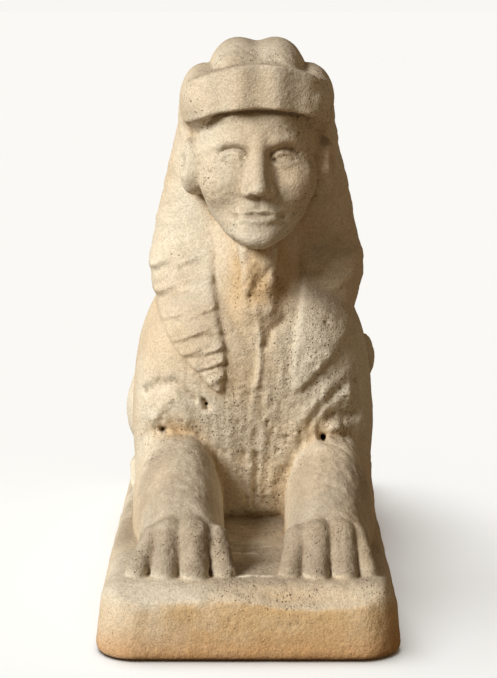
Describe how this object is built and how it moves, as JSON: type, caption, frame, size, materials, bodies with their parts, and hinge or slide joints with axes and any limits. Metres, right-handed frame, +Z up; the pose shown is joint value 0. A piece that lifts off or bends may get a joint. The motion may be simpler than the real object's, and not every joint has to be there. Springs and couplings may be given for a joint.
{
  "type": "garden sphinx statue",
  "caption": "Weathered cast-stone sphinx: a recumbent lion with a human head in a striped headcloth, on a low rounded plinth.",
  "frame": {"origin": "middle of the plinth's flat underside", "axes": "+X to the right as seen by someone facing the statue, +Y from the paws to the rump, +Z up"},
  "size_m": [0.2998, 0.7196, 0.5892],
  "materials": {
    "cast_stone": "weathered cast stone, cream to ochre, matt, sandy and pitted"
  },
  "bodies": {
    "root": {"sphinx": "cast_stone"}
  },
  "joints": []
}
